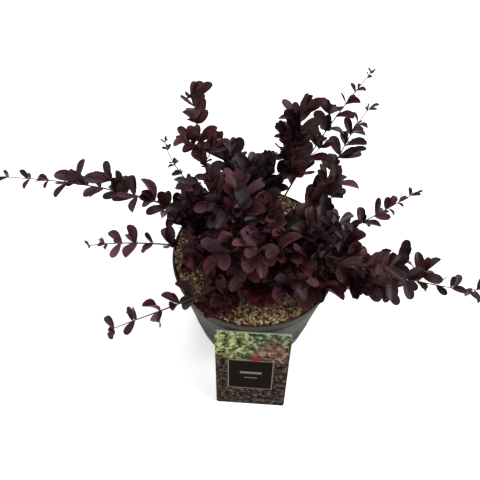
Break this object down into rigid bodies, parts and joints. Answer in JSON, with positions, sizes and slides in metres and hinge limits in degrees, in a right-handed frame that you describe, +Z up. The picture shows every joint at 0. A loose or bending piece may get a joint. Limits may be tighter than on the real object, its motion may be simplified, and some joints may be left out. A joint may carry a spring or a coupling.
{
  "type": "potted japanese barberry",
  "caption": "Young dark purple barberry shrub with long arching leafy shoots, in a round nursery pot with a card label.",
  "frame": {"origin": "centre of the pot's flat underside", "axes": "+Z up through the pot, -Y towards the side with the label card, +X to the right seen from that side"},
  "size_m": [0.4694, 0.2367, 0.301],
  "materials": {
    "pot_plastic": "satin",
    "wood_chips": "matte",
    "printed_card": "satin",
    "bark": "matte",
    "purple_leaves": "satin"
  },
  "bodies": {
    "root": {"crown": "bark", "label_card": "printed_card", "leaves_east_bank": "purple_leaves", "leaves_east_fork": "purple_leaves", "leaves_east_long": "purple_leaves", "leaves_east_low": "purple_leaves", "leaves_east_mound": "purple_leaves", "leaves_middle_left": "purple_leaves", "leaves_middle_right": "purple_leaves", "leaves_north_bank": "purple_leaves", "leaves_north_east_inner": "purple_leaves", "leaves_north_east_mound": "purple_leaves", "leaves_north_east_outer": "purple_leaves", "leaves_north_east_tall": "purple_leaves", "leaves_north_middle": "purple_leaves", "leaves_north_mound": "purple_leaves", "leaves_north_tall": "purple_leaves", "leaves_north_west_fine": "purple_leaves", "leaves_north_west_mound": "purple_leaves", "leaves_north_west_tall": "purple_leaves", "leaves_south_east_front": "purple_leaves", "leaves_south_east_mound": "purple_leaves", "leaves_south_front": "purple_leaves", "leaves_south_mound": "purple_leaves", "leaves_south_west_front": "purple_leaves", "leaves_south_west_low": "purple_leaves", "leaves_south_west_mound": "purple_leaves", "leaves_west_long": "purple_leaves", "leaves_west_low": "purple_leaves", "leaves_west_mound": "purple_leaves", "pot": "pot_plastic", "root_ball": "wood_chips", "stem_east_bank": "bark", "stem_east_fork": "bark", "stem_east_long": "bark", "stem_east_low": "bark", "stem_east_mound": "bark", "stem_middle_left": "bark", "stem_middle_right": "bark", "stem_north_bank": "bark", "stem_north_east_inner": "bark", "stem_north_east_mound": "bark", "stem_north_east_outer": "bark", "stem_north_east_tall": "bark", "stem_north_middle": "bark", "stem_north_mound": "bark", "stem_north_tall": "bark", "stem_north_west_fine": "bark", "stem_north_west_mound": "bark", "stem_north_west_tall": "bark", "stem_south_east_front": "bark", "stem_south_east_mound": "bark", "stem_south_front": "bark", "stem_south_mound": "bark", "stem_south_west_front": "bark", "stem_south_west_low": "bark", "stem_south_west_mound": "bark", "stem_west_long": "bark", "stem_west_low": "bark", "stem_west_mound": "bark"}
  },
  "joints": []
}
